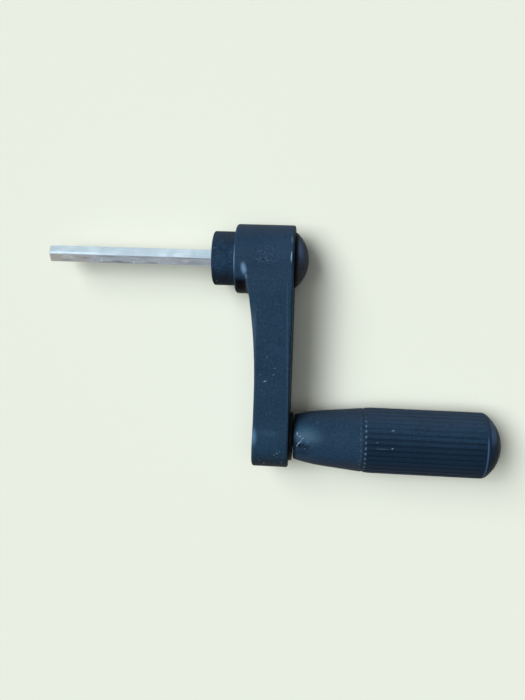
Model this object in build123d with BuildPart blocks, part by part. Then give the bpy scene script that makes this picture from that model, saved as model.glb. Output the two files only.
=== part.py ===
from build123d import *
import os
from math import sqrt

os.makedirs("parts", exist_ok=True)

# A crank handle lying on its side, in millimetres.
# X runs along the drive axis: the hex rod points to -X and the grip to +X. The arm hangs to -Y.
# The origin is on the drive axis, at the outer face of the drive collar.

# ---- driving dimensions ----
crank_radius = 80.0  # from the drive axis to the grip's axis

hex_across_flats = 7.0
rod_exposed_length = 74.2
rod_socket_depth = 17.0  # length of the rod that sits in the hub
rod_tip_chamfer = 0.3

collar_diameter = 23.75
collar_length = 10.0
collar_edge_radius = 0.9

hub_diameter = 30.4
hub_length = 25.75
hub_rim_radius = 1.2
hub_web_thickness = 3.0  # wall between the hex socket and the cap's recess
boss_diameter = 28.3

arm_thickness = 15.65  # at the waist
arm_inset = 0.3  # the arm's sides lie this far inside the hub's
arm_waist_y = -55.0
arm_flare_y = -12.0  # where the arm's outer side starts to sweep into the hub
arm_flare_setback = 6.4  # from the hub's outer face to the arm's side at that place
arm_root_setback = 3.2  # from the hub's outer face to the end of the sweep
boss_swell = 0.95  # widening between the waist and the arm's lower end
arm_edge_radius = 1.0  # round the grip's side of the arm and hub
arm_outer_edge_radius = 1.2
arm_root_radius = 3.0

cap_diameter = 24.1
cap_rise = 5.5
cap_rim_height = 0.6
cap_edge_radius = 0.6
cap_plug_diameter = 20.0
cap_plug_length = 3.2
cap_wall = 1.8

rod_screw_thread = 4.0
rod_screw_reach = 10.0  # length of thread inside the rod
rod_screw_head_diameter = 7.0
rod_screw_head_height = 2.6
rod_screw_socket = 2.5
rod_washer_diameter = 12.0
rod_washer_thickness = 1.0

flange_diameter = 21.9
flange_thickness = 1.55
flange_edge_chamfer = 0.25

axle_diameter = 10.0
axle_thread = 8.0
axle_thread_length = 11.0
axle_head_diameter = 14.0
axle_head_height = 5.0
axle_socket = 5.0
axle_socket_depth = 3.0
axle_washer_diameter = 15.0
axle_washer_thickness = 1.2
insert_across_flats = 12.0
insert_length = 12.0

grip_diameter = 29.5
grip_length = 84.6  # from the neck's end to the rim of the end dome
neck_diameter = 20.2
neck_edge_radius = 0.5
shoulder_length = 13.7  # curved first stretch of the neck
shoulder_diameter = 25.4
taper_length = 20.3  # straight taper from there to the full diameter
taper_blend_radius = 20.0
flute_count = 36
flute_width = 1.15  # at the grip's surface
flute_depth = 0.35
flute_start = 31.6  # from the neck's end to the ring groove where the flutes start
flute_wall_angle = 45.0
flute_ring_width = 1.4
flute_ring_depth = 0.2
flute_phase = 2.5  # degrees from +Y to the first flute
flute_end_setback = 1.1  # from the flutes' ends to the rim of the end dome
end_dome_radius = 18.0
end_rim_radius = 3.8  # rounding between the barrel and the end dome
head_recess_diameter = 16.0
head_recess_depth = 12.0  # from the rim of the end dome to the recess's floor

plug_groove_width = 0.45  # ring-shaped gap between the end plug and the grip
plug_groove_depth = 1.6
plug_seat_length = 3.0

running_clearance = 0.05  # radial, between the axle and the grip
side_clearance = 0.3  # axial, between the grip and the axle's washer
side_play = 0.75  # axial, between the flange washer and the grip's neck
fit_clearance = 0.03  # radial, between pieces pressed or screwed together
washer_clearance = 0.2  # radial, between a washer and what passes through it

# ---- worked-out sizes ----
hub_radius = hub_diameter / 2
boss_radius = boss_diameter / 2
grip_radius = grip_diameter / 2
cap_radius = cap_diameter / 2
cap_plug_radius = cap_plug_diameter / 2
axle_radius = axle_diameter / 2
head_recess_radius = head_recess_diameter / 2

# ---- places along X ----
hub_left = collar_length
hub_right = hub_left + hub_length
rod_tip_x = -rod_exposed_length
rod_end_x = hub_left + rod_socket_depth
recess_floor_x = rod_end_x + hub_web_thickness
rod_screw_head_x = recess_floor_x + rod_washer_thickness
arm_left = hub_right - arm_thickness
cap_rim_x = hub_right + cap_rim_height
flange_right = hub_right + flange_thickness
neck_x = flange_right + side_play
dome_rim_x = neck_x + grip_length
head_recess_x = dome_rim_x - head_recess_depth
axle_washer_x = head_recess_x + side_clearance
axle_head_x = axle_washer_x + axle_washer_thickness


def section(x, y=0.0):
    """The plane across the drive axis at x. Its centre is at height y."""
    return Plane(origin=(x, y, 0), x_dir=(0, 1, 0), z_dir=(1, 0, 0))


def hexagon_radius(across_flats):
    """The corner radius of a hexagon of that width."""
    return across_flats / sqrt(3)


def sphere_x(centre_x, sphere_radius, radius):
    """Where a sphere about the axis has that radius, on its +X side."""
    return centre_x + sqrt(sphere_radius**2 - radius**2)


# The grip's axis, and the plane in which its turned pieces are drawn.
grip_axis = Axis((0, -crank_radius, 0), (1, 0, 0))
grip_plane = Plane(origin=(0, -crank_radius, 0), x_dir=(1, 0, 0), z_dir=(0, 0, 1))

# The drawn hexagonal bar, with a corner of the hexagon towards +Z and its inner end tapped.
with BuildPart() as hex_rod:
    with BuildSketch(section(rod_tip_x)):
        RegularPolygon(hexagon_radius(hex_across_flats), 6, rotation=30)
    extrude(amount=rod_end_x - rod_tip_x)
    chamfer(hex_rod.faces().sort_by(Axis.X)[0].edges(), rod_tip_chamfer)
    with BuildSketch(section(rod_end_x)):
        Circle(rod_screw_thread / 2 + fit_clearance)
    extrude(amount=-rod_screw_reach - 1, mode=Mode.SUBTRACT)
hex_rod.part.label = "hex_rod"
export_step(hex_rod.part, "parts/hex_rod.step")

# The turned collar that shoulders the rod against the hub.
with BuildPart() as drive_collar:
    with BuildSketch(section(0)):
        Circle(collar_diameter / 2)
    extrude(amount=collar_length)
    rim = drive_collar.edges().filter_by(GeomType.CIRCLE).sort_by(Axis.X)[0]
    fillet(rim, collar_edge_radius)
    with BuildSketch(section(0)):
        RegularPolygon(hexagon_radius(hex_across_flats + 2 * fit_clearance), 6, rotation=30)
    extrude(amount=collar_length, mode=Mode.SUBTRACT)
drive_collar.part.label = "drive_collar"
export_step(drive_collar.part, "parts/drive_collar.step")

# The moulded arm: hub, tapering arm and lower boss in one piece.
waist = (arm_left, arm_waist_y)
flare = (hub_left + arm_flare_setback, arm_flare_y)
root = (hub_left + arm_root_setback, 0)
lower_end = (arm_left - boss_swell, -crank_radius - boss_radius - 1)
with BuildPart() as crank_arm:
    # The arm's outline, from the hub's circle to the boss's, is cut back on its outer side.
    with BuildSketch(section(hub_left)):
        Circle(hub_radius - arm_inset)
        with Locations((-crank_radius, 0)):
            Circle(boss_radius)
        make_hull()
    extrude(amount=hub_length)
    with BuildSketch(Plane.XY):
        with BuildLine():
            TangentArc(waist, flare, tangent=(0, 1))
            TangentArc(flare, root, tangent=(flare[0] - waist[0], (flare[1] - waist[1]) / 2))
            TangentArc(waist, lower_end, tangent=(0, -1))
            Polyline(lower_end, (hub_left - 1, lower_end[1]), (hub_left - 1, 0), root)
        make_face()
    extrude(amount=hub_diameter, both=True, mode=Mode.SUBTRACT)
    outer_outline = crank_arm.edges().filter_by(GeomType.LINE, reverse=True)
    fillet(outer_outline.filter_by_position(Axis.X, hub_left + 1, hub_right - 1), arm_outer_edge_radius)
    # The hub's full circle joins it, with a blend all round the junction.
    with BuildSketch(section(hub_left)):
        Circle(hub_radius)
    extrude(amount=hub_length)
    junction = crank_arm.edges(Select.NEW).filter_by_position(Axis.X, hub_left + 1, hub_right - 1)
    fillet(junction.filter_by_position(Axis.Y, -hub_radius - 1, -1), arm_root_radius)
    fillet(crank_arm.faces().sort_by(Axis.X)[-1].edges(), arm_edge_radius)
    fillet(crank_arm.faces().sort_by(Axis.X)[0].edges(), hub_rim_radius)
    with BuildSketch(section(hub_left)):
        RegularPolygon(hexagon_radius(hex_across_flats + 2 * fit_clearance), 6, rotation=30)
    extrude(amount=rod_socket_depth, mode=Mode.SUBTRACT)
    with BuildSketch(section(rod_end_x)):
        Circle(rod_screw_thread / 2 + washer_clearance)
    extrude(amount=hub_web_thickness, mode=Mode.SUBTRACT)
    with BuildSketch(section(recess_floor_x)):
        Circle(cap_plug_radius + fit_clearance)
    extrude(amount=hub_right - recess_floor_x, mode=Mode.SUBTRACT)
    with BuildSketch(section(hub_right, -crank_radius)):
        RegularPolygon(hexagon_radius(insert_across_flats + 2 * fit_clearance), 6)
    extrude(amount=-insert_length, mode=Mode.SUBTRACT)
crank_arm.part.label = "crank_arm"
export_step(crank_arm.part, "parts/crank_arm.step")

# The screw and washer that draw the rod's collar against the hub.
with BuildPart() as rod_washer:
    with BuildSketch(section(recess_floor_x)):
        Circle(rod_washer_diameter / 2)
        Circle(rod_screw_thread / 2 + washer_clearance, mode=Mode.SUBTRACT)
    extrude(amount=rod_washer_thickness)
rod_washer.part.label = "rod_washer"
export_step(rod_washer.part, "parts/rod_washer.step")

with BuildPart() as rod_screw:
    with BuildSketch(section(rod_screw_head_x)):
        Circle(rod_screw_head_diameter / 2)
    extrude(amount=rod_screw_head_height)
    with BuildSketch(section(rod_end_x - rod_screw_reach)):
        Circle(rod_screw_thread / 2)
    extrude(until=Until.NEXT)
    with BuildSketch(section(rod_screw_head_x + rod_screw_head_height)):
        RegularPolygon(hexagon_radius(rod_screw_socket), 6)
    extrude(amount=-rod_screw_head_height / 2, mode=Mode.SUBTRACT)
rod_screw.part.label = "rod_screw"
export_step(rod_screw.part, "parts/rod_screw.step")

# The domed cap that closes the hub, a moulded shell with a plug that pushes into the recess.
cap_sphere_radius = (cap_radius**2 + cap_rise**2) / (2 * cap_rise)
cap_apex_x = cap_rim_x + cap_rise
cap_inner_radius = cap_plug_radius - cap_wall
cap_roof_x = sphere_x(cap_apex_x - cap_sphere_radius, cap_sphere_radius, cap_inner_radius) - cap_wall
with BuildPart() as hub_cap:
    with BuildSketch(Plane.XY):
        with BuildLine():
            RadiusArc((cap_rim_x, cap_radius), (cap_apex_x, 0), cap_sphere_radius)
            Polyline(
                (cap_apex_x, 0),
                (cap_roof_x, 0),
                (cap_roof_x, cap_inner_radius),
                (hub_right - cap_plug_length, cap_inner_radius),
                (hub_right - cap_plug_length, cap_plug_radius),
                (hub_right, cap_plug_radius),
                (hub_right, cap_radius),
                (cap_rim_x, cap_radius),
            )
        make_face()
    revolve(axis=Axis.X)
    dome_edge = hub_cap.edges().filter_by_position(Axis.X, cap_rim_x - 0.1, cap_rim_x + 0.1)
    fillet(dome_edge, cap_edge_radius)
hub_cap.part.label = "hub_cap"
export_step(hub_cap.part, "parts/hub_cap.step")

# The threaded insert moulded into the lower boss.
with BuildPart() as boss_insert:
    with BuildSketch(section(hub_right, -crank_radius)):
        RegularPolygon(hexagon_radius(insert_across_flats), 6)
        Circle(axle_thread / 2 + fit_clearance, mode=Mode.SUBTRACT)
    extrude(amount=-insert_length)
boss_insert.part.label = "boss_insert"
export_step(boss_insert.part, "parts/boss_insert.step")

# The flange washer between the arm and the axle's shoulder.
with BuildPart() as flange_washer:
    with BuildSketch(section(hub_right, -crank_radius)):
        Circle(flange_diameter / 2)
    extrude(amount=flange_thickness)
    chamfer(flange_washer.edges(), flange_edge_chamfer)
    with BuildSketch(section(hub_right, -crank_radius)):
        Circle(axle_thread / 2 + washer_clearance)
    extrude(amount=flange_thickness, mode=Mode.SUBTRACT)
flange_washer.part.label = "flange_washer"
export_step(flange_washer.part, "parts/flange_washer.step")

# The shoulder screw on which the grip turns.
with BuildPart() as grip_axle:
    with BuildSketch(section(hub_right - axle_thread_length, -crank_radius)):
        Circle(axle_thread / 2)
    extrude(amount=axle_thread_length + flange_thickness)
    with BuildSketch(section(flange_right, -crank_radius)):
        Circle(axle_radius)
    extrude(amount=axle_head_x - flange_right)
    with BuildSketch(section(axle_head_x, -crank_radius)):
        Circle(axle_head_diameter / 2)
    extrude(amount=axle_head_height)
    with BuildSketch(section(axle_head_x + axle_head_height, -crank_radius)):
        RegularPolygon(hexagon_radius(axle_socket), 6)
    extrude(amount=-axle_socket_depth, mode=Mode.SUBTRACT)
grip_axle.part.label = "grip_axle"
export_step(grip_axle.part, "parts/grip_axle.step")

with BuildPart() as axle_washer:
    with BuildSketch(section(axle_washer_x, -crank_radius)):
        Circle(axle_washer_diameter / 2)
        Circle(axle_radius + washer_clearance, mode=Mode.SUBTRACT)
    extrude(amount=axle_washer_thickness)
axle_washer.part.label = "axle_washer"
export_step(axle_washer.part, "parts/axle_washer.step")

# The moulded grip: a swelling neck, a fluted barrel and a domed end.
dome_centre_x = dome_rim_x - sqrt(end_dome_radius**2 - grip_radius**2)
dome_hole_x = sphere_x(dome_centre_x, end_dome_radius, head_recess_radius)
shoulder = (neck_x + shoulder_length, shoulder_diameter / 2)
taper_end = (shoulder[0] + taper_length, grip_radius)
bore_radius = axle_radius + running_clearance
flute_start_x = neck_x + flute_start
flute_end_x = dome_rim_x - flute_end_setback
with BuildPart() as grip:
    with BuildSketch(grip_plane):
        with BuildLine():
            TangentArc(
                shoulder,
                (neck_x, neck_diameter / 2),
                tangent=(shoulder[0] - taper_end[0], shoulder[1] - taper_end[1]),
            )
            FilletPolyline(shoulder, taper_end, (dome_rim_x, grip_radius), radius=taper_blend_radius)
            RadiusArc((dome_rim_x, grip_radius), (dome_hole_x, head_recess_radius), end_dome_radius)
            Polyline(
                (dome_hole_x, head_recess_radius),
                (head_recess_x, head_recess_radius),
                (head_recess_x, bore_radius),
                (neck_x, bore_radius),
                (neck_x, neck_diameter / 2),
            )
        make_face()
    revolve(axis=grip_axis)
    neck_edge = grip.edges().filter_by(GeomType.CIRCLE).group_by(Axis.X)[0].sort_by(SortBy.RADIUS)[-1]
    fillet(neck_edge, neck_edge_radius)
    fillet(grip.edges().filter_by_position(Axis.X, dome_rim_x - 0.1, dome_rim_x + 0.1), end_rim_radius)
    # A ring groove with a sloping far wall, from which the flutes start.
    with BuildSketch(grip_plane):
        with Locations((flute_start_x - flute_ring_width / 2, grip_radius - flute_depth)):
            Trapezoid(flute_ring_width, 2 * flute_ring_depth, flute_wall_angle, rotation=180)
    revolve(axis=grip_axis, mode=Mode.SUBTRACT)
    with BuildSketch(section(flute_start_x - flute_ring_width / 2, -crank_radius)):
        with PolarLocations(grip_radius, flute_count, start_angle=flute_phase):
            Trapezoid(flute_width + 2 * flute_depth, 2 * flute_depth, flute_wall_angle, rotation=90)
    extrude(amount=flute_end_x - flute_start_x + flute_ring_width / 2, mode=Mode.SUBTRACT)
grip.part.label = "grip"
export_step(grip.part, "parts/grip.step")

# The plug that hides the axle's head. It carries the end dome's curve across the middle.
plug_face_radius = head_recess_radius - plug_groove_width
plug_edge_x = sphere_x(dome_centre_x, end_dome_radius, plug_face_radius)
plug_step_x = plug_edge_x - plug_groove_depth
with BuildPart() as grip_end_plug:
    with BuildSketch(grip_plane):
        with BuildLine():
            Polyline(
                (plug_step_x - plug_seat_length, 0),
                (plug_step_x - plug_seat_length, head_recess_radius - fit_clearance),
                (plug_step_x, head_recess_radius - fit_clearance),
                (plug_step_x, plug_face_radius),
                (plug_edge_x, plug_face_radius),
            )
            RadiusArc((plug_edge_x, plug_face_radius), (dome_centre_x + end_dome_radius, 0), end_dome_radius)
            Line((dome_centre_x + end_dome_radius, 0), (plug_step_x - plug_seat_length, 0))
        make_face()
    revolve(axis=grip_axis)
grip_end_plug.part.label = "grip_end_plug"
export_step(grip_end_plug.part, "parts/grip_end_plug.step")
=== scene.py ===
from math import cos, pi, radians, sin

import bmesh
import bpy
from mathutils import Matrix, Vector


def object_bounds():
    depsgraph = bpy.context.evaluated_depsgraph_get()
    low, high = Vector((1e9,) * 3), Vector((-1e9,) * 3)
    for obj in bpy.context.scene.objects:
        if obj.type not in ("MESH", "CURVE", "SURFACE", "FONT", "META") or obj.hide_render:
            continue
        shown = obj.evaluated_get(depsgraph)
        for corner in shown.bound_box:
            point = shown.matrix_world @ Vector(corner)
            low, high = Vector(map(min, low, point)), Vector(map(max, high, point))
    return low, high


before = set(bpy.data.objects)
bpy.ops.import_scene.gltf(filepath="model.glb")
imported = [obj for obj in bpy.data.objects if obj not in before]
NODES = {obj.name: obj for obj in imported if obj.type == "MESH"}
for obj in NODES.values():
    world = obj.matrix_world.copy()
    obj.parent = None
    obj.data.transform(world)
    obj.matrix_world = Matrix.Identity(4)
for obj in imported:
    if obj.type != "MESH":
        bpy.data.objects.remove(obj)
cad_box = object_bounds()

MM = 0.001

# ---- camera ----
CAMERA_PLACE = Vector((45.43, 8.43, 306.85)) * MM
CAMERA_TURN = (9.0656, -4.2286, -2.2905)  # degrees about X, Y and Z
CAMERA_LENS = 35.49
CAMERA_SENSOR = 36.0
CAMERA_REACH = (0.01, 50.0)  # nearest and farthest, in metres

# ---- studio ----
FLOOR_COLOUR = (0.814, 0.863, 0.768)  # as it looks under the lamps
FLOOR_BOUNCE = (0.34, 0.24, 0.17)  # what the floor gives back to the object's sides
FLOOR_RADIUS = 30.0
FLOOR_SIDES = 64
# each lamp: name, direction from +X to +Y, height, spread (degrees), share of the floor's light
LAMPS = [
    ("window_high", 162.0, 60.0, 32.0, 0.54),
    ("window_low", 138.0, 43.0, 30.0, 0.25),
    ("overhead", 60.0, 84.0, 50.0, 0.20),
]
LAMP_COLOUR = (0.92, 1.0, 1.10)
ROOM_LIGHT = (0.01, 0.01, 0.01)
SWEEP_LEVEL = (0.3, 0.75)  # height of the direction, from the pale to the dim part
SWEEP_TOP = (0.09, 0.13, 0.18)
PANE_FROM = Vector((0.0, 0.85, 0.52))
PANE_EDGE = (0.82, 1.0)  # cosine of the angle to the pane's middle
PANE_COLOUR = (0.66, 0.88, 0.98)

# ---- places on the handle, in millimetres ----
GRIP_AXIS_Y = -80.0
GRIP_RADIUS = 14.75
LAND_COUNT = 36
LAND_OFFSET = 0.05  # from +Z to the nearest land, as a share of the step between lands
FLUTE_START_X = 69.0
FLUTE_END_X = 121.6
ROD_TIP_X = -74.0
ARM_LEAN = 0.034  # how far the right side of the arm's face comes in, for each length down the arm
HUB_CAP_Y = (-30.0, -25.0)  # between the end plug, which shares the cap's plastic, and the cap

# ---- finishes ----
PLASTIC_SHINE = 0.03  # weaker than most plastics, so that the pale floor doesn't grey the sides
BLACKENED_SHINE = 0.08
COAT_IOR = 1.45
BEVEL_SAMPLES = 6

# ---- colours ----
ARM_BLUE = (0.0175, 0.0418, 0.0705)
GRIP_BLUE = (0.0180, 0.0430, 0.0745)
COLLAR_BLUE = (0.0155, 0.0365, 0.0650)
CAP_GREY = (0.049, 0.059, 0.086)
RUBBED_BLUE = (0.16, 0.24, 0.32)
RUBBED_COLLAR = (0.12, 0.19, 0.25)
RUBBED_CAP = (0.16, 0.17, 0.20)
EDGE_LIGHT = (0.16, 0.28, 0.40)
STEEL_DARK = (0.535, 0.56, 0.61)
STEEL_LIGHT = (0.58, 0.605, 0.66)

# ---- marks ----
# each mark: x, y, z, half length, half width (millimetres), turn about Z (degrees), strength
ARM_DUST = [
    (25.0, -51.9, 12.3, 1.35, 0.42, 22, 1.0),
    (25.6, -41.2, 12.3, 0.8, 0.35, 80, 0.5),
    (29.2, -46.0, 12.3, 1.3, 0.28, 8, 0.34),
    (28.6, -48.9, 12.3, 1.2, 0.3, 10, 0.4),
    (22.9, -49.1, 12.3, 0.9, 0.3, 25, 0.34),
    (21.4, -17.3, 12.3, 0.45, 0.3, 70, 0.26),
    (24.0, -19.3, 12.3, 0.4, 0.3, 60, 0.22),
    (24.7, -34.1, 12.3, 1.2, 0.3, 35, 0.3),
    (29.6, -53.8, 12.3, 0.5, 0.2, -20, 0.3),
    (27.6, -65.9, 12.3, 0.35, 0.3, 0, 0.5),
    (23.7, -55.9, 12.3, 0.8, 0.2, 30, 0.26),
    (31.1, -84.3, 12.0, 0.55, 0.3, 40, 0.6),
    (29.9, -85.2, 12.0, 0.4, 0.25, 0, 0.45),
    (32.2, -83.4, 12.0, 0.35, 0.25, 90, 0.4),
    (30.8, -82.6, 12.0, 0.3, 0.2, 20, 0.35),
    (25.2, -90.2, 9.6, 0.45, 0.6, 0, 0.85),
    (23.2, -88.6, 10.4, 0.4, 0.3, 0, 0.4),
    (33.0, -89.4, 10.0, 0.4, 0.35, 0, 0.4),
]
HUB_SCUFFS = [
    (20.3, 0.5, 15.0, 0.45, 0.35, 0, 0.16),
    (21.3, 0.1, 15.0, 0.35, 0.55, 20, 0.2),
    (23.6, 1.0, 15.0, 0.4, 0.4, 0, 0.15),
    (24.5, 0.0, 15.0, 0.5, 0.35, 30, 0.22),
    (26.1, 0.5, 15.0, 0.4, 0.35, 0, 0.15),
    (22.4, -0.6, 15.0, 0.5, 0.3, 0, 0.15),
    (14.9, -11.4, 9.9, 0.4, 0.3, 0, 0.4),
]
# dark marks on the hub's top, and the last two along its right rim beside the painted glint there
HUB_DARK_MARKS = [
    (22.8, 0.5, 15.0, 0.85, 0.75, 15, 0.7),
    (25.3, 0.9, 15.0, 0.5, 0.4, 0, 0.45),
    (20.9, 0.9, 15.0, 0.5, 0.35, 0, 0.3),
    (35.45, 1.6, 14.9, 0.32, 3.6, 0, 0.85),
    (35.3, 7.0, 13.4, 0.25, 1.4, 0, 0.4),
]
HUB_HAZE = [(23.5, 2.5, 14.8, 8.5, 5.0, 0, 1.0)]
# painted highlights at the hollow of the arm's root, and a line below it
ARM_ROOT = [
    (14.5, -3.5, 14.6, 1.8, 3.7, 8, 0.85),
    (15.6, -6.6, 13.6, 0.9, 2.2, 14, 0.4),
]
ROOT_LINE = [
    (16.2, -10.6, 12.6, 4.6, 0.4, -79, 0.32),
    (17.2, -16.0, 12.4, 3.4, 0.35, -80, 0.25),
]
# painted highlights where the arm's lower end starts to curve
BOSS_BAND = [
    (20.6, -77.0, 12.0, 2.2, 5.6, 0, 1.0),
    (26.5, -75.2, 12.3, 8.0, 2.6, 0, 0.12),
]
# painted glint on the hub's right rim
RIGHT_RIM = [
    (34.65, 1.9, 14.9, 0.35, 2.9, 0, 0.9),
    (34.65, 9.0, 12.2, 0.5, 2.2, 5, 0.22),
]
# a painted sheen on the neck
NECK_SHEEN = [
    (43.8, -76.2, 11.0, 10.0, 6.4, -5, 0.42),
    (40.8, -76.3, 10.8, 3.0, 3.2, 0, 0.5),
]
NECK_BRUISE = [
    (40.6, -81.4, 10.9, 2.4, 2.2, 0, 0.5),
    (43.4, -82.0, 11.3, 2.8, 2.4, 15, 0.5),
    (42.0, -84.2, 10.5, 4.6, 2.2, 0, 0.5),
]
NECK_GOUGES_DARK = [
    (42.4, -80.7, 11.3, 1.5, 0.40, 48, 0.75),
    (43.4, -81.3, 11.4, 1.2, 0.42, 30, 0.6),
    (41.6, -81.7, 11.2, 1.1, 0.40, 20, 0.6),
    (44.4, -80.6, 11.5, 0.8, 0.40, 60, 0.45),
    (40.9, -80.9, 11.2, 1.2, 0.6, 35, 1.0),
    (39.4, -80.4, 11.0, 0.5, 1.0, 0, 0.6),
    (44.9, -81.9, 11.6, 0.4, 1.5, 12, 0.35),
    (42.6, -79.3, 11.3, 0.9, 0.35, 10, 0.4),
    (42.2, -80.1, 11.3, 0.5, 0.6, 0, 0.5),
]
NECK_GOUGES_PALE = [
    (40.5, -79.9, 11.2, 1.4, 0.28, 52, 0.65),
    (39.8, -81.2, 11.1, 0.32, 0.5, 0, 0.6),
    (41.6, -78.5, 11.2, 0.5, 0.3, 40, 0.4),
    (43.2, -82.3, 11.4, 0.3, 0.28, 0, 0.3),
    (39.7, -75.9, 10.4, 0.55, 0.9, 0, 0.38),
    (40.9, -77.0, 10.9, 0.9, 0.35, 30, 0.3),
    (42.2, -77.6, 11.1, 1.0, 0.35, 20, 0.3),
    (41.4, -79.3, 11.3, 0.35, 0.3, 0, 0.4),
    (44.4, -78.9, 11.6, 0.5, 0.3, 0, 0.25),
    (48.4, -70.8, 8.7, 0.6, 0.5, 0, 0.08),
]
BARREL_SCUFFS = [
    (81.4, -71.8, 12.2, 1.0, 0.38, 5, 0.35),
    (81.2, -79.2, 14.7, 0.6, 0.42, 0, 0.45),
    (74.6, -76.9, 14.4, 0.8, 0.35, 0, 0.15),
    (77.0, -79.6, 14.7, 4.5, 0.35, 0, 0.10),
]
COLLAR_CHIPS = [
    (2.1, -9.6, 7.0, 0.45, 0.35, 0, 0.8),
    (1.4, 4.6, 10.9, 0.3, 0.3, 0, 0.3),
]
# a painted sheen on the hub's cap
CAP_SHEEN = [(38.3, 5.2, 9.5, 2.4, 8.5, 12, 0.85)]
ROD_NICKS = [
    (-63.0, 1.4, 2.8, 0.4, 0.3, 0, 0.5),
    (-36.0, 1.2, 2.9, 0.6, 0.25, 10, 0.5),
    (-8.5, 1.6, 2.7, 0.45, 0.35, 0, 0.6),
]
ROD_SMEARS = [
    (-48.5, -3.2, 1.6, 5.0, 0.6, -1, 0.5),
    (-43.0, -2.9, 1.8, 5.5, 0.9, -1, 0.65),
    (-39.0, -3.2, 1.7, 3.6, 0.6, -1, 0.45),
    (-58.0, -1.6, 2.6, 3.5, 1.0, 0, 0.35),
    (-66.0, -2.6, 2.0, 4.0, 0.7, 0, 0.35),
    (-46.0, -0.6, 3.7, 7.0, 0.5, 0, 0.35),
    (-31.0, -0.5, 3.7, 9.0, 0.5, 0, 0.4),
    (-28.0, -2.9, 1.9, 5.0, 0.8, -1, 0.4),
    (-13.0, -0.4, 3.8, 11.0, 0.5, 0, 0.45),
    (-9.0, -2.4, 2.2, 6.0, 1.2, 0, 0.25),
]
ROD_FLECKS = [
    (-50.6, -2.4, 2.2, 0.7, 1.0, 20, 0.55),
    (-36.0, -2.8, 1.9, 0.9, 0.7, 0, 0.5),
    (-34.6, -2.2, 2.3, 0.6, 0.5, 0, 0.35),
    (-24.6, -2.5, 2.1, 0.4, 0.9, 0, 0.5),
    (-22.4, -1.6, 2.7, 0.4, 0.5, 0, 0.4),
    (-12.5, -1.8, 2.6, 2.0, 0.9, 0, 0.3),
    (-64.0, -1.2, 2.9, 1.4, 0.5, 0, 0.25),
]


# ---- writing nodes ----
def connect(tree, node, inputs):
    """Joins or fills a node's inputs, by number or by name. In a name, _ stands for a space."""
    for key, value in inputs.items():
        socket = node.inputs[key.replace("_", " ") if isinstance(key, str) else key]
        if isinstance(value, bpy.types.NodeSocket):
            tree.links.new(value, socket)
        else:
            socket.default_value = value


def put(tree, kind, inputs=None, **settings):
    """Adds one node, sets it, and joins or fills its inputs."""
    node = tree.nodes.new(kind)
    for name, value in settings.items():
        setattr(node, name, value)
    connect(tree, node, inputs or {})
    return node


def calc(tree, operation, *terms):
    return put(tree, "ShaderNodeMath", dict(enumerate(terms)), operation=operation).outputs[0]


def vector_calc(tree, operation, *terms):
    return put(tree, "ShaderNodeVectorMath", dict(enumerate(terms)), operation=operation).outputs


def noise(tree, place, scale, detail):
    inputs = {"Vector": place, "Scale": scale, "Detail": detail}
    return put(tree, "ShaderNodeTexNoise", inputs).outputs["Fac"]


def fade(tree, value, low, high, start=0.0, end=1.0):
    """Goes smoothly from start to end while value goes from low to high."""
    inputs = {"Value": value, "From Min": low, "From Max": high, "To Min": start, "To Max": end}
    return put(tree, "ShaderNodeMapRange", inputs, interpolation_type="SMOOTHSTEP").outputs["Result"]


def between(tree, value, low, high, soft):
    """1 where value lies between low and high, with soft edges."""
    rise = fade(tree, value, low - soft, low + soft)
    fall = fade(tree, value, high - soft, high + soft, 1.0, 0.0)
    return calc(tree, "MULTIPLY", rise, fall)


def blend(tree, mask, below, above):
    inputs = {"Factor": mask, "A": below, "B": above}
    return put(tree, "ShaderNodeMix", inputs, data_type="RGBA", blend_type="MIX").outputs["Result"]


def tint(tree, colour, shares):
    """The colour with its red, green and blue each multiplied."""
    return vector_calc(tree, "MULTIPLY", colour, shares)["Vector"]


def opaque(colour):
    return (*colour, 1.0)


def new_group(name, inputs, outputs):
    """An empty node group with its named sockets, and its first and last node."""
    group = bpy.data.node_groups.new(name, "ShaderNodeTree")
    for label, kind, value in inputs:
        socket = group.interface.new_socket(name=label, in_out="INPUT", socket_type="NodeSocket" + kind)
        if kind == "Float":
            socket.default_value = value
    for label in outputs:
        group.interface.new_socket(name=label, in_out="OUTPUT", socket_type="NodeSocketFloat")
    return group, group.nodes.new("NodeGroupInput").outputs, group.nodes.new("NodeGroupOutput").inputs


# ---- effects that several materials share ----
def make_moulded_grain():
    """Fine grain, soft ripple and large uneven tone of a moulded or rolled surface."""
    inputs = [("Place", "Vector", None), ("Grain Size", "Float", 0.5 * MM), ("Ripple Size", "Float", 3 * MM),
              ("Patch Size", "Float", 12 * MM), ("Ripple Share", "Float", 0.4)]
    group, given, made = new_group("moulded_grain", inputs, ["Height", "Grain", "Patches"])

    def sized_noise(size, detail):
        return noise(group, given["Place"], calc(group, "DIVIDE", 1.0, given[size]), detail)

    grain = sized_noise("Grain Size", 3.0)
    ripple = sized_noise("Ripple Size", 2.0)
    patches = sized_noise("Patch Size", 3.0)
    ripple_part = calc(group, "MULTIPLY", ripple, given["Ripple Share"])
    grain_part = calc(group, "MULTIPLY", grain, calc(group, "SUBTRACT", 1.0, given["Ripple Share"]))
    group.links.new(calc(group, "ADD", ripple_part, grain_part), made["Height"])
    group.links.new(grain, made["Grain"])
    group.links.new(fade(group, patches, 0.3, 0.7), made["Patches"])
    return group


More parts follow.
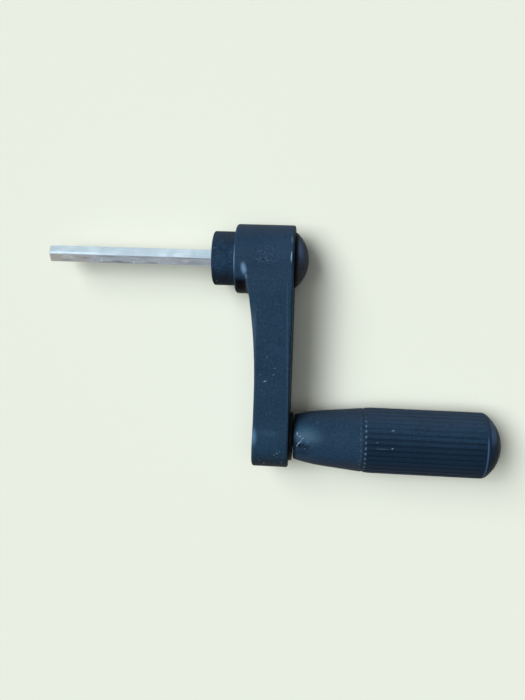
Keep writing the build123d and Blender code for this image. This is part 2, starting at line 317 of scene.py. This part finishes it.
def make_worn_edges():
    """A broken line along the piece's edges, where hands and tables rub it."""
    inputs = [("Place", "Vector", None), ("Width", "Float", 0.4 * MM), ("Gap Size", "Float", 2 * MM),
              ("Wear", "Float", 0.5)]
    group, given, made = new_group("worn_edges", inputs, ["Mask"])
    rounded = put(group, "ShaderNodeBevel", {"Radius": given["Width"]}, samples=BEVEL_SAMPLES)
    flat = group.nodes.new("ShaderNodeNewGeometry").outputs["Normal"]
    likeness = vector_calc(group, "DOT_PRODUCT", rounded.outputs["Normal"], flat)["Value"]
    edge = fade(group, likeness, 0.995, 0.93)
    gaps = noise(group, given["Place"], calc(group, "DIVIDE", 1.0, given["Gap Size"]), 3.0)
    bare = calc(group, "SUBTRACT", 1.0, given["Wear"])
    low = calc(group, "MULTIPLY_ADD", bare, 0.5, 0.2)
    high = calc(group, "ADD", low, 0.2)
    group.links.new(calc(group, "MULTIPLY", edge, fade(group, gaps, low, high)), made["Mask"])
    return group


def make_specks():
    """Scattered small dots: dust, pinholes and chips."""
    inputs = [("Place", "Vector", None), ("Spacing", "Float", 2 * MM), ("Size", "Float", 0.15),
              ("Share", "Float", 0.3)]
    group, given, made = new_group("specks", inputs, ["Mask"])
    scale = calc(group, "DIVIDE", 1.0, given["Spacing"])
    cells = put(group, "ShaderNodeTexVoronoi", {"Vector": given["Place"], "Scale": scale})
    tone = put(group, "ShaderNodeSeparateColor", {"Color": cells.outputs["Color"]})
    size = calc(group, "MULTIPLY", given["Size"], fade(group, tone.outputs["Green"], 0.0, 1.0, 0.5, 1.0))
    dot = fade(group, cells.outputs["Distance"], size, calc(group, "MULTIPLY", size, 0.5))
    chosen = calc(group, "LESS_THAN", tone.outputs["Red"], given["Share"])
    group.links.new(calc(group, "MULTIPLY", dot, chosen), made["Mask"])
    return group


def make_scratches():
    """Thin faint lines that run one way, broken into short lengths."""
    inputs = [("Place", "Vector", None), ("Length", "Float", 10 * MM), ("Width", "Float", 0.15 * MM),
              ("Turn", "Float", 0.0), ("Amount", "Float", 0.3)]
    group, given, made = new_group("scratches", inputs, ["Mask"])
    turned = put(group, "ShaderNodeVectorRotate", {"Vector": given["Place"], "Angle": given["Turn"]},
                 rotation_type="Z_AXIS")
    size = put(group, "ShaderNodeCombineXYZ", {"X": given["Length"], "Y": given["Width"], "Z": given["Width"]})
    stretched = vector_calc(group, "DIVIDE", turned.outputs["Vector"], size.outputs["Vector"])["Vector"]
    low = calc(group, "MULTIPLY_ADD", given["Amount"], -0.25, 0.78)
    high = calc(group, "ADD", low, 0.07)
    group.links.new(fade(group, noise(group, stretched, 1.0, 1.0), low, high), made["Mask"])
    return group


def make_placed_mark():
    """One oval mark at a place of its own, with a ragged rim."""
    inputs = [("Place", "Vector", None), ("Centre", "Vector", None), ("Half Size", "Vector", None),
              ("Turn", "Float", 0.0), ("Soft", "Float", 0.5), ("Ragged", "Float", 0.3)]
    group, given, made = new_group("placed_mark", inputs, ["Mask"])
    offset = vector_calc(group, "SUBTRACT", given["Place"], given["Centre"])["Vector"]
    back = calc(group, "MULTIPLY", given["Turn"], -1.0)
    turned = put(group, "ShaderNodeVectorRotate", {"Vector": offset, "Angle": back}, rotation_type="Z_AXIS")
    scaled = vector_calc(group, "DIVIDE", turned.outputs["Vector"], given["Half Size"])["Vector"]
    distance = vector_calc(group, "LENGTH", scaled)["Value"]
    wobble = noise(group, given["Place"], 1 / (0.35 * MM), 2.0)
    shift = calc(group, "MULTIPLY", calc(group, "SUBTRACT", wobble, 0.5), given["Ragged"])
    reach = calc(group, "MULTIPLY_ADD", shift, 2.0, distance)
    inner = calc(group, "SUBTRACT", 1.0, given["Soft"])
    group.links.new(fade(group, reach, 1.0, inner), made["Mask"])
    return group


MOULDED_GRAIN = make_moulded_grain()
WORN_EDGES = make_worn_edges()
SPECKS = make_specks()
SCRATCHES = make_scratches()
PLACED_MARK = make_placed_mark()


class Paint:
    """A material while it is being written. Its methods take millimetres and degrees."""

    def __init__(self, name):
        self.material = bpy.data.materials.new(name)
        self.material.use_nodes = True
        self.tree = self.material.node_tree
        self.shader = self.tree.nodes["Principled BSDF"]
        self.place = self.tree.nodes.new("ShaderNodeTexCoord").outputs["Object"]
        self.x, self.y, self.z = put(self.tree, "ShaderNodeSeparateXYZ", {0: self.place}).outputs
        self.colour = None

    def calc(self, operation, *terms):
        return calc(self.tree, operation, *terms)

    def times(self, first, second):
        return calc(self.tree, "MULTIPLY", first, second)

    def rise(self, distance, low, high, start=0.0, end=1.0):
        """Goes smoothly from start to end while a distance goes from low to high."""
        return fade(self.tree, distance, low * MM, high * MM, start, end)

    def strip(self, distance, low, high, soft):
        """1 where a distance lies between low and high, with soft edges."""
        return between(self.tree, distance, low * MM, high * MM, soft * MM)

    def effect(self, group, **inputs):
        return put(self.tree, "ShaderNodeGroup", {"Place": self.place, **inputs}, node_tree=group).outputs

    def grain(self, grain, ripple, patch, ripple_share=0.4):
        return self.effect(MOULDED_GRAIN, Grain_Size=grain * MM, Ripple_Size=ripple * MM,
                           Patch_Size=patch * MM, Ripple_Share=ripple_share)

    def worn_edges(self, width, gap, wear):
        return self.effect(WORN_EDGES, Width=width * MM, Gap_Size=gap * MM, Wear=wear)["Mask"]

    def specks(self, spacing, size, share):
        return self.effect(SPECKS, Spacing=spacing * MM, Size=size, Share=share)["Mask"]

    def scratches(self, length, width, turn, amount):
        return self.effect(SCRATCHES, Length=length * MM, Width=width * MM, Turn=radians(turn),
                           Amount=amount)["Mask"]

    def marks(self, places, soft, ragged):
        """The strongest of several placed marks."""
        strongest = None
        for x, y, z, long, wide, turn, strength in places:
            deep = max(3.0, 1.5 * long, 1.5 * wide)
            mask = self.effect(PLACED_MARK, Centre=Vector((x, y, z)) * MM,
                               Half_Size=Vector((long, wide, deep)) * MM,
                               Turn=radians(turn), Soft=soft, Ragged=ragged)["Mask"]
            mask = self.times(mask, strength)
            strongest = mask if strongest is None else self.calc("MAXIMUM", strongest, mask)
        return strongest

    def lay(self, mask, colour, strength=None):
        """Lays a colour over what is there, as far as the mask says."""
        if strength is not None:
            mask = self.times(mask, strength)
        self.colour = blend(self.tree, mask, self.colour, opaque(colour))

    def fill(self, **inputs):
        """Joins or sets the shader's inputs."""
        connect(self.tree, self.shader, inputs)

    def bump(self, height, depth):
        """The height goes from 0 to 1."""
        bump = put(self.tree, "ShaderNodeBump", {"Height": height, "Distance": depth * MM, "Strength": 1.0})
        self.fill(Normal=bump.outputs["Normal"])


# ---- the plastics ----
def start_plastic(name, colour, grain=0.5, patch=14.0, tone=0.08, mottle=0.30, rough=0.5):
    """Moulded plastic with uneven tone and gloss, ready for its own marks."""
    rough_change = 0.08
    paint = Paint(name)
    paint.surface = paint.grain(grain, 2.6, patch)
    dark = tuple(part * (1 - tone) for part in colour)
    light = tuple(part * (1 + tone) for part in colour)
    shade = blend(paint.tree, paint.surface["Patches"], opaque(dark), opaque(light))
    fine = fade(paint.tree, paint.surface["Grain"], 0.3, 0.7, 1 - mottle, 1 + mottle)
    scaled = put(paint.tree, "ShaderNodeVectorMath", {0: shade, "Scale": fine}, operation="SCALE")
    paint.colour = scaled.outputs["Vector"]
    paint.rough = fade(paint.tree, paint.surface["Grain"], 0.25, 0.75, rough - rough_change, rough + rough_change)
    return paint


def wear_plastic(paint, pale, edge_width, edge_wear, edges, specks, scratches, turn):
    """Rubbed edges, dust specks and faint scratches, each with its own strength. Gives the edges' mask."""
    worn = paint.worn_edges(edge_width, 2.4, edge_wear)
    paint.lay(worn, pale, edges)
    paint.lay(paint.specks(1.3, 0.22, 0.22), pale, specks)
    paint.lay(paint.scratches(7, 0.28, turn, 0.5), pale, scratches)
    return worn


def finish_plastic(paint, grain_depth, coat=None, coat_roughness=0.2):
    paint.fill(Base_Color=paint.colour, Roughness=paint.rough, Specular_IOR_Level=PLASTIC_SHINE)
    if coat is not None:
        paint.fill(Coat_Weight=coat, Coat_Roughness=coat_roughness, Coat_IOR=COAT_IOR)
    paint.bump(paint.surface["Height"], grain_depth)
    return paint.material


def arm_plastic():
    paint = start_plastic("arm_plastic", ARM_BLUE, grain=0.75, mottle=0.22)
    worn = wear_plastic(paint, RUBBED_BLUE, 0.5, 0.8, 0.20, 0.24, 0.05, 90)
    x, y, z = paint.x, paint.y, paint.z

    # the hub is a little bluer than the arm, and greyer on its upper side, a painted reflection
    paint.lay(paint.rise(y, -16, -6), (0.050, 0.080, 0.135), 0.12)
    paint.lay(paint.rise(y, 8.5, 14), (0.048, 0.060, 0.088), 0.4)

    # small dark marks, dust and scuffs; two of the dark marks run along the hub's right rim
    paint.lay(paint.marks(HUB_DARK_MARKS, 0.6, 0.5), (0.004, 0.010, 0.020))
    dust = paint.times(paint.marks(ARM_DUST, 0.5, 0.3), 1.6)
    dust = paint.calc("MAXIMUM", dust, paint.marks(HUB_SCUFFS, 0.7, 0.6))
    paint.lay(dust, (0.30, 0.40, 0.46))
    in_grain = fade(paint.tree, paint.surface["Grain"], 0.5, 0.68, 0.0, 0.2)
    paint.lay(paint.times(paint.marks(HUB_HAZE, 0.9, 0.5), in_grain), (0.12, 0.19, 0.27))

    # painted shade in the corner under the hub, beside the arm's root, browner at the bottom
    corner = paint.times(paint.strip(x, 10.7, 15.5, 0.8), paint.strip(y, -16.5, -8.0, 1.6))
    paint.lay(corner, (0.003, 0.002, 0.003))
    bottom = paint.times(paint.strip(y, -15.6, -14.5, 0.3), paint.strip(x, 10.8, 16.0, 0.5))
    paint.lay(bottom, (0.060, 0.040, 0.026), 0.5)

    # painted highlights: the hub's left rim, the hollow at the arm's root and a line below it
    left_rim = paint.times(paint.strip(x, 9.95, 10.6, 0.25), paint.strip(y, -4, 4, 4))
    paint.lay(left_rim, EDGE_LIGHT, 0.6)
    root = paint.marks(ARM_ROOT, 1.0, 0.2)
    paint.lay(root, (0.20, 0.33, 0.50))
    paint.lay(paint.marks(ROOT_LINE, 0.9, 0.1), EDGE_LIGHT)

    # painted highlights on the arm's left edge and where its lower end starts to curve
    edge = paint.times(paint.rise(x, 21.2, 19.6), paint.strip(y, -84, -22, 6))
    paint.lay(edge, (0.115, 0.165, 0.22), 0.28)
    band = paint.times(paint.marks(BOSS_BAND, 1.0, 0.2), paint.rise(z, 8.5, 11.5))
    paint.lay(band, (0.10, 0.19, 0.29))

    # painted shade below that, with grit in it
    paint.lay(paint.rise(y, -84.5, -92.5), (0.015, 0.015, 0.018), 0.85)
    grit = paint.times(paint.specks(1.0, 0.26, 0.35), paint.rise(y, -80, -87, 0.0, 0.7))
    paint.lay(grit, (0.16, 0.20, 0.24))

    # a painted highlight line along the right side of the arm's face, which leans, and a painted glint on the hub's
    # right rim
    inset = paint.calc("MULTIPLY_ADD", y, ARM_LEAN, x)
    line = paint.times(paint.strip(inset, 32.7, 33.05, 0.2), paint.rise(y, -6, -12))
    paint.lay(line, (0.09, 0.16, 0.25), 0.24)
    paint.lay(paint.marks(RIGHT_RIM, 0.6, 0.3), (0.24, 0.37, 0.46))

    coat = paint.calc("MAXIMUM", paint.calc("MAXIMUM", left_rim, root), paint.times(worn, 0.3))
    return finish_plastic(paint, 0.012, coat)


def land_phase(paint, across):
    """How far round from the middle of the nearest land, in degrees."""
    turn = paint.calc("ARCTAN2", paint.times(across, -1.0), paint.z)
    steps = paint.calc("MULTIPLY_ADD", turn, LAND_COUNT / (2 * pi), LAND_OFFSET + 0.5)
    share = paint.calc("SUBTRACT", paint.calc("FRACT", steps), 0.5)
    return paint.times(share, 360.0 / LAND_COUNT)


def grip_plastic():
    paint = start_plastic("grip_plastic", GRIP_BLUE)
    wear_plastic(paint, RUBBED_BLUE, 0.3, 0.6, 0.10, 0.25, 0.06, 0)
    x, z = paint.x, paint.z
    across = paint.calc("SUBTRACT", paint.y, GRIP_AXIS_Y * MM)
    radius = paint.calc("SQRT", paint.calc("MULTIPLY_ADD", z, z, paint.times(across, across)))

    # painted shade and reflection: the barrel darker to its lower side, all of it greyer above and browner below
    on_barrel = paint.rise(x, FLUTE_START_X - 1, FLUTE_START_X + 2)
    lower = paint.times(on_barrel, paint.rise(across, 11, 0))
    paint.lay(lower, (0.004, 0.010, 0.021), 0.62)
    paint.lay(paint.rise(across, 7.5, 13.5), (0.046, 0.061, 0.092), 0.4)
    underside = paint.times(paint.rise(across, -4.5, -11), fade(paint.tree, on_barrel, 0.0, 1.0, 0.45, 0.18))
    paint.lay(underside, (0.034, 0.024, 0.022))

    # painted shade beside the arm
    paint.lay(paint.rise(x, 39.8, 38.6), (0.005, 0.010, 0.016), 0.88)

    # darker in the flutes
    in_flute = paint.times(paint.strip(x, FLUTE_START_X, FLUTE_END_X, 0.3),
                           paint.rise(radius, GRIP_RADIUS - 0.06, GRIP_RADIUS - 0.3))
    paint.lay(paint.times(in_flute, paint.rise(across, 10, 4, 0.12, 0.42)), (0.003, 0.008, 0.016))

    # painted glints at the lands' ends, stronger on the upper side, and a fainter row between them nearer the arm
    turn = paint.calc("ABSOLUTE", land_phase(paint, across))
    dots = paint.times(fade(paint.tree, turn, 3.3, 1.2), paint.strip(x, 69.45, 70.15, 0.25))
    faint = paint.times(fade(paint.tree, turn, 1.4, 3.4), paint.strip(x, 67.2, 67.9, 0.3))
    uneven = fade(paint.tree, noise(paint.tree, paint.place, 1 / (1.3 * MM), 1.0), 0.3, 0.6, 0.35, 1.0)
    glint_reach = paint.times(paint.rise(z, 5, 13), uneven)
    dots = paint.times(paint.calc("MULTIPLY_ADD", faint, 0.22, dots), glint_reach)
    paint.lay(dots, (0.22, 0.33, 0.42), 0.5)

    # a painted highlight line on the rim of the end dome
    rim = paint.times(paint.rise(z, 4, 11), paint.rise(across, 9, 4))
    rim = paint.times(paint.strip(x, 121.7, 122.3, 0.25), rim)
    paint.lay(rim, (0.10, 0.19, 0.30), 0.5)

    # painted on the end dome: a highlight on its upper side, shade in a ring round the plug and on its lower side,
    # and grey inside the ring
    on_dome = paint.rise(x, 123.2, 124.0)
    upper = paint.times(paint.strip(radius, 11.4, 14.4, 0.5), paint.rise(across, 2, 7.5))
    paint.lay(paint.times(upper, paint.times(on_dome, 0.6)), (0.099, 0.176, 0.325))
    ring = paint.times(paint.strip(radius, 10.35, 11.2, 0.3), paint.rise(across, 7, 3))
    shaded = paint.times(paint.strip(radius, 10.35, 13.6, 0.5), paint.rise(across, 1, -4, 0.0, 0.7))
    paint.lay(paint.times(paint.calc("MAXIMUM", ring, shaded), on_dome), (0.002, 0.003, 0.004))
    paint.lay(paint.times(paint.rise(radius, 9.9, 9.4), on_dome), (0.060, 0.063, 0.082), 0.8)

    # the neck: a painted sheen, and gouges near the arm
    sheen = paint.marks(NECK_SHEEN, 1.0, 0.45)
    paint.lay(sheen, (0.045, 0.130, 0.195))
    paint.lay(paint.marks(NECK_BRUISE, 0.8, 0.6), (0.009, 0.017, 0.026))
    paint.lay(paint.marks(NECK_GOUGES_DARK, 0.5, 0.4), (0.003, 0.006, 0.013))
    pale = paint.calc("MAXIMUM", paint.marks(NECK_GOUGES_PALE, 0.6, 0.6), paint.marks(BARREL_SCUFFS, 0.7, 0.4))
    paint.lay(pale, (0.34, 0.46, 0.55))

    coat = paint.times(paint.calc("MAXIMUM", sheen, paint.times(rim, 0.4)), 0.35)
    return finish_plastic(paint, 0.014, coat, 0.35)


def collar_plastic():
    paint = start_plastic("collar_plastic", COLLAR_BLUE, grain=0.7, patch=5.0, tone=0.14, mottle=0.4, rough=0.6)
    wear_plastic(paint, RUBBED_COLLAR, 0.4, 0.4, 0.10, 0.3, 0.05, 90)
    paint.lay(paint.specks(1.1, 0.3, 0.3), (0.004, 0.012, 0.026), 0.35)
    paint.lay(paint.marks(COLLAR_CHIPS, 0.6, 0.3), (0.25, 0.34, 0.40))
    # painted reflection and shade: greyer on the upper side, darker on the lower
    paint.lay(paint.rise(paint.y, 5, 11), (0.050, 0.054, 0.070), 0.4)
    paint.lay(paint.rise(paint.y, -3, -9), (0.014, 0.010, 0.009), 0.6)
    return finish_plastic(paint, 0.03)


def cap_plastic():
    """The hub's cap and the grip's end plug: a greyer plastic, with a painted sheen on the hub's cap."""
    paint = start_plastic("cap_plastic", CAP_GREY, mottle=0.55)
    wear_plastic(paint, RUBBED_CAP, 0.35, 0.4, 0.08, 0.3, 0.10, 65)
    # a painted sheen across the hub's cap
    paint.lay(paint.marks(CAP_SHEEN, 1.0, 0.3), (0.127, 0.202, 0.360))
    # painted shade on the hub's cap only: browner on the lower side, dark beside the hub
    on_hub_cap = paint.rise(paint.y, *HUB_CAP_Y)
    paint.lay(paint.times(paint.rise(paint.y, -2, -9), on_hub_cap), (0.075, 0.062, 0.060), 0.5)
    paint.lay(paint.times(paint.rise(paint.x, 37.6, 36.9), on_hub_cap), (0.002, 0.003, 0.006), 0.92)
    return finish_plastic(paint, 0.010)


# ---- the metals ----
def bare_steel():
    """Drawn hexagonal bar: lengthways lines, light brown stains, nicks and a bright worn edge."""
    paint = Paint("bare_steel")
    tree, x, y = paint.tree, paint.x, paint.y
    surface = paint.grain(0.5, 5, 9, 0.5)
    drawn = paint.scratches(14, 0.3, 0, 0.9)
    paint.colour = blend(tree, surface["Patches"], opaque(STEEL_DARK), opaque(STEEL_LIGHT))
    paint.lay(drawn, (0.40, 0.42, 0.46), 0.5)
    low_facet = paint.rise(y, 0.2, -0.2)
    paint.lay(paint.times(paint.scratches(4, 0.4, 0, 1.0), low_facet), (0.36, 0.34, 0.38), 0.4)

    # painted reflection: each facet's change along the rod
    upper = blend(tree, paint.rise(x, ROD_TIP_X, -4), tint(tree, paint.colour, (0.76, 0.81, 0.78)),
                  tint(tree, paint.colour, (1.04, 1.06, 1.03)))
    lower = blend(tree, paint.rise(x, ROD_TIP_X, -50), tint(tree, paint.colour, (1.27, 1.22, 1.20)),
                  tint(tree, paint.colour, (1.01, 1.02, 1.11)))
    paint.colour = blend(tree, low_facet, upper, lower)

    # stains, browner towards the tip, and a painted highlight beside the ridge there
    stains = noise(tree, paint.place, 1 / (6 * MM), 4.0)
    stained = fade(tree, stains, 0.5, 0.66, 0.0, 0.55)
    paint.lay(paint.times(stained, fade(tree, low_facet, 0.0, 1.0, 0.12, 0.6)), (0.45, 0.41, 0.43))
    tip = paint.times(paint.times(low_facet, paint.rise(x, -52, -62)), fade(tree, stains, 0.42, 0.6, 0.0, 0.5))
    paint.lay(tip, (0.50, 0.42, 0.36))
    border = paint.times(paint.strip(y, 0.15, 0.9, 0.3), paint.rise(x, -42, -52))
    paint.lay(border, (0.80, 0.90, 0.98), 0.35)

    # smears, flecks, pits, nicks and worn edges
    paint.lay(paint.times(paint.marks(ROD_SMEARS, 0.8, 0.5), low_facet), (0.20, 0.17, 0.21))
    paint.lay(paint.times(paint.marks(ROD_FLECKS, 0.7, 0.5), low_facet), (0.86, 0.90, 0.98))
    paint.lay(paint.specks(1.9, 0.2, 0.35), (0.25, 0.24, 0.23), 0.45)
    nicks = paint.marks(ROD_NICKS, 0.6, 0.5)
    paint.lay(nicks, (0.16, 0.16, 0.17), 0.7)
    paint.lay(paint.worn_edges(0.28, 3, 0.85), (0.86, 0.88, 0.90), 0.45)

    rough = paint.calc("MULTIPLY_ADD", stained, 0.3, fade(tree, surface["Grain"], 0.3, 0.7, 0.28, 0.42))
    height = paint.calc("MULTIPLY_ADD", drawn, -0.4, surface["Height"])
    height = paint.calc("MULTIPLY_ADD", nicks, -3.0, height)
    paint.fill(Base_Color=paint.colour, Roughness=rough, Metallic=1.0)
    paint.bump(height, 0.006)
    return paint.material


def blackened_steel():
    """Flange washer, axle and its washer: dark and satin, rubbed grey at the edges."""
    paint = Paint("blackened_steel")
    surface = paint.grain(0.35, 2, 5)
    paint.colour = blend(paint.tree, surface["Patches"], opaque((0.002, 0.0035, 0.005)),
                         opaque((0.005, 0.007, 0.009)))
    paint.lay(paint.worn_edges(0.25, 1.6, 0.5), (0.05, 0.055, 0.06), 0.15)
    paint.lay(paint.specks(1.2, 0.2, 0.2), (0.06, 0.06, 0.06), 0.2)
    rough = fade(paint.tree, surface["Grain"], 0.3, 0.7, 0.42, 0.58)
    paint.fill(Base_Color=paint.colour, Roughness=rough, Specular_IOR_Level=BLACKENED_SHINE)
    paint.bump(surface["Height"], 0.008)
    return paint.material


def turned_metal(name, low, high, stain):
    """The small parts inside the handle: turned, with fine lines and light tarnish."""
    paint = Paint(name)
    surface = paint.grain(0.2, 1.5, 3)
    paint.colour = blend(paint.tree, surface["Patches"], opaque(low), opaque(high))
    paint.lay(paint.scratches(3, 0.08, 90, 1.0), stain, 0.4)
    paint.lay(paint.worn_edges(0.15, 1, 0.6), (0.85, 0.85, 0.84), 0.4)
    rough = fade(paint.tree, surface["Grain"], 0.3, 0.7, 0.22, 0.36)
    paint.fill(Base_Color=paint.colour, Roughness=rough, Metallic=1.0)
    paint.bump(surface["Height"], 0.004)
    return paint.material


# ---- studio ----
def add_camera():
    """The camera above the handle, looking nearly straight down."""
    data = bpy.data.cameras.new("camera")
    data.sensor_width = CAMERA_SENSOR
    data.lens = CAMERA_LENS
    data.clip_start, data.clip_end = CAMERA_REACH
    camera = bpy.data.objects.new("camera", data)
    bpy.context.scene.collection.objects.link(camera)
    turn_x, turn_y, turn_z = (Matrix.Rotation(radians(angle), 3, axis) for angle, axis in zip(CAMERA_TURN, "XYZ"))
    world_to_camera = turn_z @ turn_y @ turn_x
    camera.matrix_world = Matrix.Translation(CAMERA_PLACE) @ world_to_camera.transposed().to_4x4()
    bpy.context.scene.camera = camera


def add_lamps():
    """Broad soft lamps, each the same strength all over the floor. Their shares add up to a plain level."""
    for name, around, up, spread, share in LAMPS:
        data = bpy.data.lights.new(name, "SUN")
        data.energy = pi * share / sin(radians(up))
        data.angle = radians(spread)
        data.color = LAMP_COLOUR
        lamp = bpy.data.objects.new(name, data)
        bpy.context.scene.collection.objects.link(lamp)
        flat = cos(radians(up))
        towards = Vector((flat * cos(radians(around)), flat * sin(radians(around)), sin(radians(up))))
        lamp.rotation_euler = towards.to_track_quat("Z", "Y").to_euler()


def seen_directly(tree):
    """1 for what the camera, gloss and glass see, 0 for the light that falls on things."""
    path = tree.nodes.new("ShaderNodeLightPath")
    seen = calc(tree, "MAXIMUM", path.outputs["Is Camera Ray"], path.outputs["Is Glossy Ray"])
    return calc(tree, "MAXIMUM", seen, path.outputs["Is Transmission Ray"])


def set_world():
    """Little light of its own. The camera, metal and gloss see a pale sweep, dim overhead, with one window pane."""
    world = bpy.data.worlds.new("studio")
    bpy.context.scene.world = world
    world.use_nodes = True
    tree = world.node_tree
    tree.nodes.clear()
    direction = tree.nodes.new("ShaderNodeTexCoord").outputs["Generated"]
    height = put(tree, "ShaderNodeSeparateXYZ", {0: direction}).outputs["Z"]
    sweep = blend(tree, fade(tree, height, *SWEEP_LEVEL), opaque(FLOOR_COLOUR), opaque(SWEEP_TOP))
    towards_pane = vector_calc(tree, "DOT_PRODUCT", direction, PANE_FROM.normalized())["Value"]
    sweep = blend(tree, fade(tree, towards_pane, *PANE_EDGE), sweep, opaque(PANE_COLOUR))
    shown = blend(tree, seen_directly(tree), opaque(ROOM_LIGHT), sweep)
    background = put(tree, "ShaderNodeBackground", {"Color": shown})
    put(tree, "ShaderNodeOutputWorld", {"Surface": background.outputs[0]})


def add_floor():
    """A wide pale floor under the handle. It gives little light back to the handle's sides."""
    mesh = bpy.data.meshes.new("floor")
    form = bmesh.new()
    bmesh.ops.create_circle(form, cap_ends=True, segments=FLOOR_SIDES, radius=FLOOR_RADIUS)
    bmesh.ops.translate(form, verts=form.verts, vec=(0, 0, cad_box[0][2]))
    form.to_mesh(mesh)
    form.free()
    floor = bpy.data.objects.new("floor", mesh)
    bpy.context.scene.collection.objects.link(floor)
    paint = Paint("pale_floor")
    under_lamps = tuple(look / lamp for look, lamp in zip(FLOOR_COLOUR, LAMP_COLOUR))
    colour = blend(paint.tree, seen_directly(paint.tree), opaque(FLOOR_BOUNCE), opaque(under_lamps))
    paint.fill(Base_Color=colour, Roughness=1.0, Specular_IOR_Level=0.0)
    mesh.materials.append(paint.material)


def finish_nodes(material, *names):
    for name in names:
        NODES[name].data.materials.clear()
        NODES[name].data.materials.append(material)


add_camera()
add_lamps()
set_world()
add_floor()

plated_steel = turned_metal("plated_steel", (0.55, 0.56, 0.57), (0.66, 0.67, 0.68), (0.40, 0.40, 0.40))
insert_brass = turned_metal("insert_brass", (0.70, 0.53, 0.26), (0.82, 0.64, 0.34), (0.45, 0.34, 0.18))
finish_nodes(arm_plastic(), "crank_arm")
finish_nodes(grip_plastic(), "grip")
finish_nodes(collar_plastic(), "drive_collar")
finish_nodes(cap_plastic(), "hub_cap", "grip_end_plug")
finish_nodes(bare_steel(), "hex_rod")
finish_nodes(blackened_steel(), "flange_washer", "grip_axle", "axle_washer")
finish_nodes(plated_steel, "rod_washer", "rod_screw")
finish_nodes(insert_brass, "boss_insert")

bpy.context.scene.view_settings.view_transform = "Standard"
